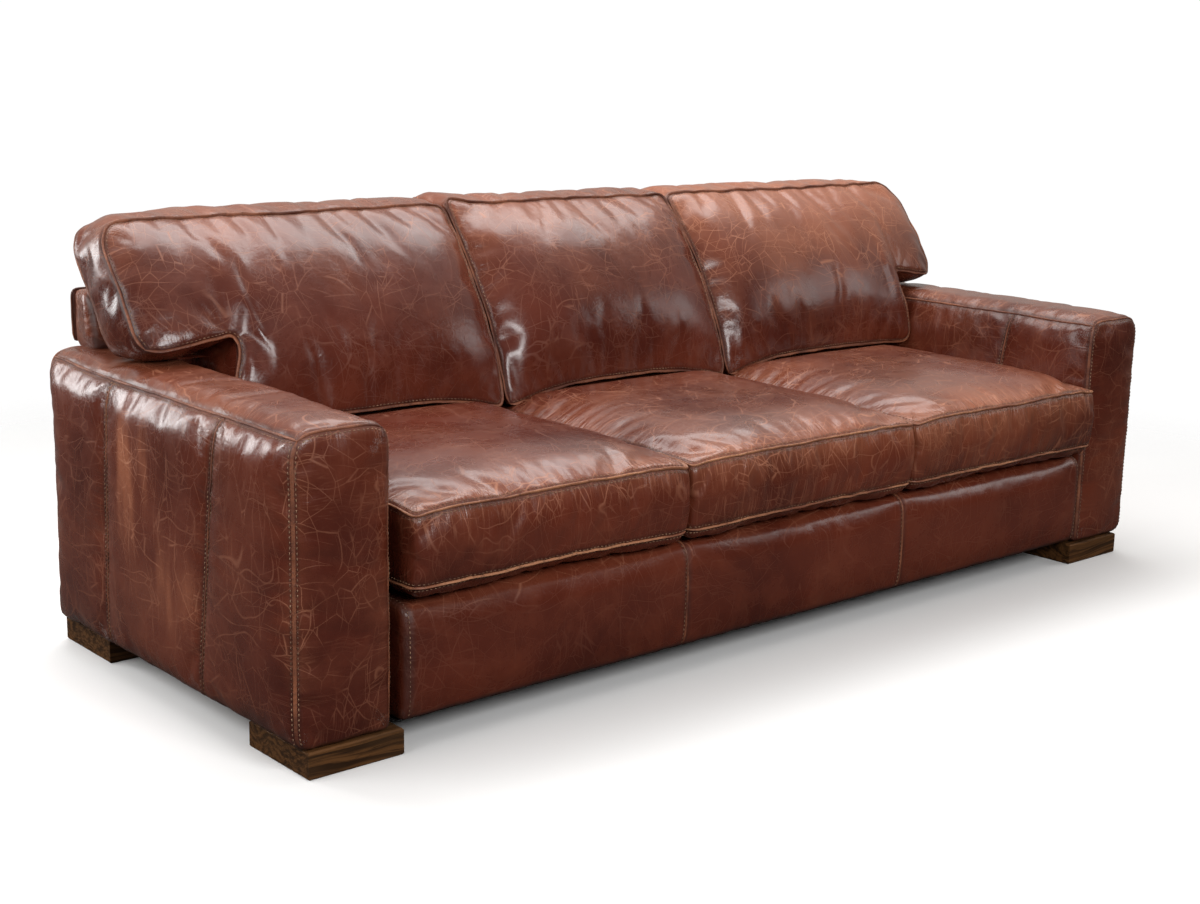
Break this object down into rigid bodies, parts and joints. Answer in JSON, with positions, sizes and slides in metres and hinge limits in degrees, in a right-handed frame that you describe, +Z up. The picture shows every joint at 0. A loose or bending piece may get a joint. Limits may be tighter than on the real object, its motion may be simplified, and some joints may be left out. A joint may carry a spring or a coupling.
{
  "type": "worn leather sofa",
  "caption": "Low box-arm sofa in worn brown leather, with loose seat and back cushions on a timber frame and block feet.",
  "frame": {"origin": "on the floor, under the middle of the sofa's overall box", "axes": "+X along the seat to the right as seen from the front, -Y the front, +Z up"},
  "size_m": [2.45, 1, 0.895],
  "materials": {
    "leather_brown": "glossy pull-up leather, rubbed lighter on crowns and seams, with fine crackle and scratches",
    "oak_dark": "dark stained oak, satin",
    "frame_timber": "planed and unfinished",
    "plywood": "sanded and unfinished",
    "webbing": "woven elastic webbing",
    "cloth_black": "matt non-woven lining cloth",
    "thread": "waxed linen thread, worn and soiled",
    "bolt_steel": "zinc plated"
  },
  "bodies": {
    "root": {"foot_front_left": "oak_dark", "foot_rear_left": "oak_dark", "foot_bolt_front_left": "bolt_steel", "foot_bolt_rear_left": "bolt_steel", "arm_bolt_front_left": "bolt_steel", "arm_bolt_rear_left": "bolt_steel", "arm_cover_left": "leather_brown", "arm_inner_panel_left": "plywood", "arm_outer_panel_left": "plywood", "arm_top_board_left": "frame_timber", "arm_front_board_left": "frame_timber", "arm_rear_board_left": "frame_timber", "arm_bottom_rail_left": "frame_timber", "side_rail_left": "frame_timber", "cross_rail_left": "frame_timber", "back_cushion_left": "leather_brown", "seat_cushion_left": "leather_brown", "foot_front_right": "oak_dark", "foot_rear_right": "oak_dark", "foot_bolt_front_right": "bolt_steel", "foot_bolt_rear_right": "bolt_steel", "arm_bolt_front_right": "bolt_steel", "arm_bolt_rear_right": "bolt_steel", "arm_cover_right": "leather_brown", "arm_inner_panel_right": "plywood", "arm_outer_panel_right": "plywood", "arm_top_board_right": "frame_timber", "arm_front_board_right": "frame_timber", "arm_rear_board_right": "frame_timber", "arm_bottom_rail_right": "frame_timber", "side_rail_right": "frame_timber", "cross_rail_right": "frame_timber", "back_cushion_right": "leather_brown", "seat_cushion_right": "leather_brown", "back_cushion_centre": "leather_brown", "seat_cushion_centre": "leather_brown", "front_rail_cover": "leather_brown", "inside_back_cover": "leather_brown", "outside_back_panel": "leather_brown", "front_rail": "frame_timber", "rear_rail": "frame_timber", "back_top_rail": "frame_timber", "back_rib_1": "plywood", "back_rib_2": "plywood", "back_rib_3": "plywood", "back_rib_4": "plywood", "seat_webbing_1": "webbing", "seat_webbing_2": "webbing", "seat_webbing_3": "webbing", "seat_webbing_4": "webbing", "seat_webbing_5": "webbing", "seat_webbing_6": "webbing", "seat_webbing_7": "webbing", "seat_webbing_8": "webbing", "seat_webbing_9": "webbing", "cross_webbing_front": "webbing", "cross_webbing_rear": "webbing", "deck_cloth": "cloth_black", "dust_cover": "cloth_black"}
  },
  "joints": []
}
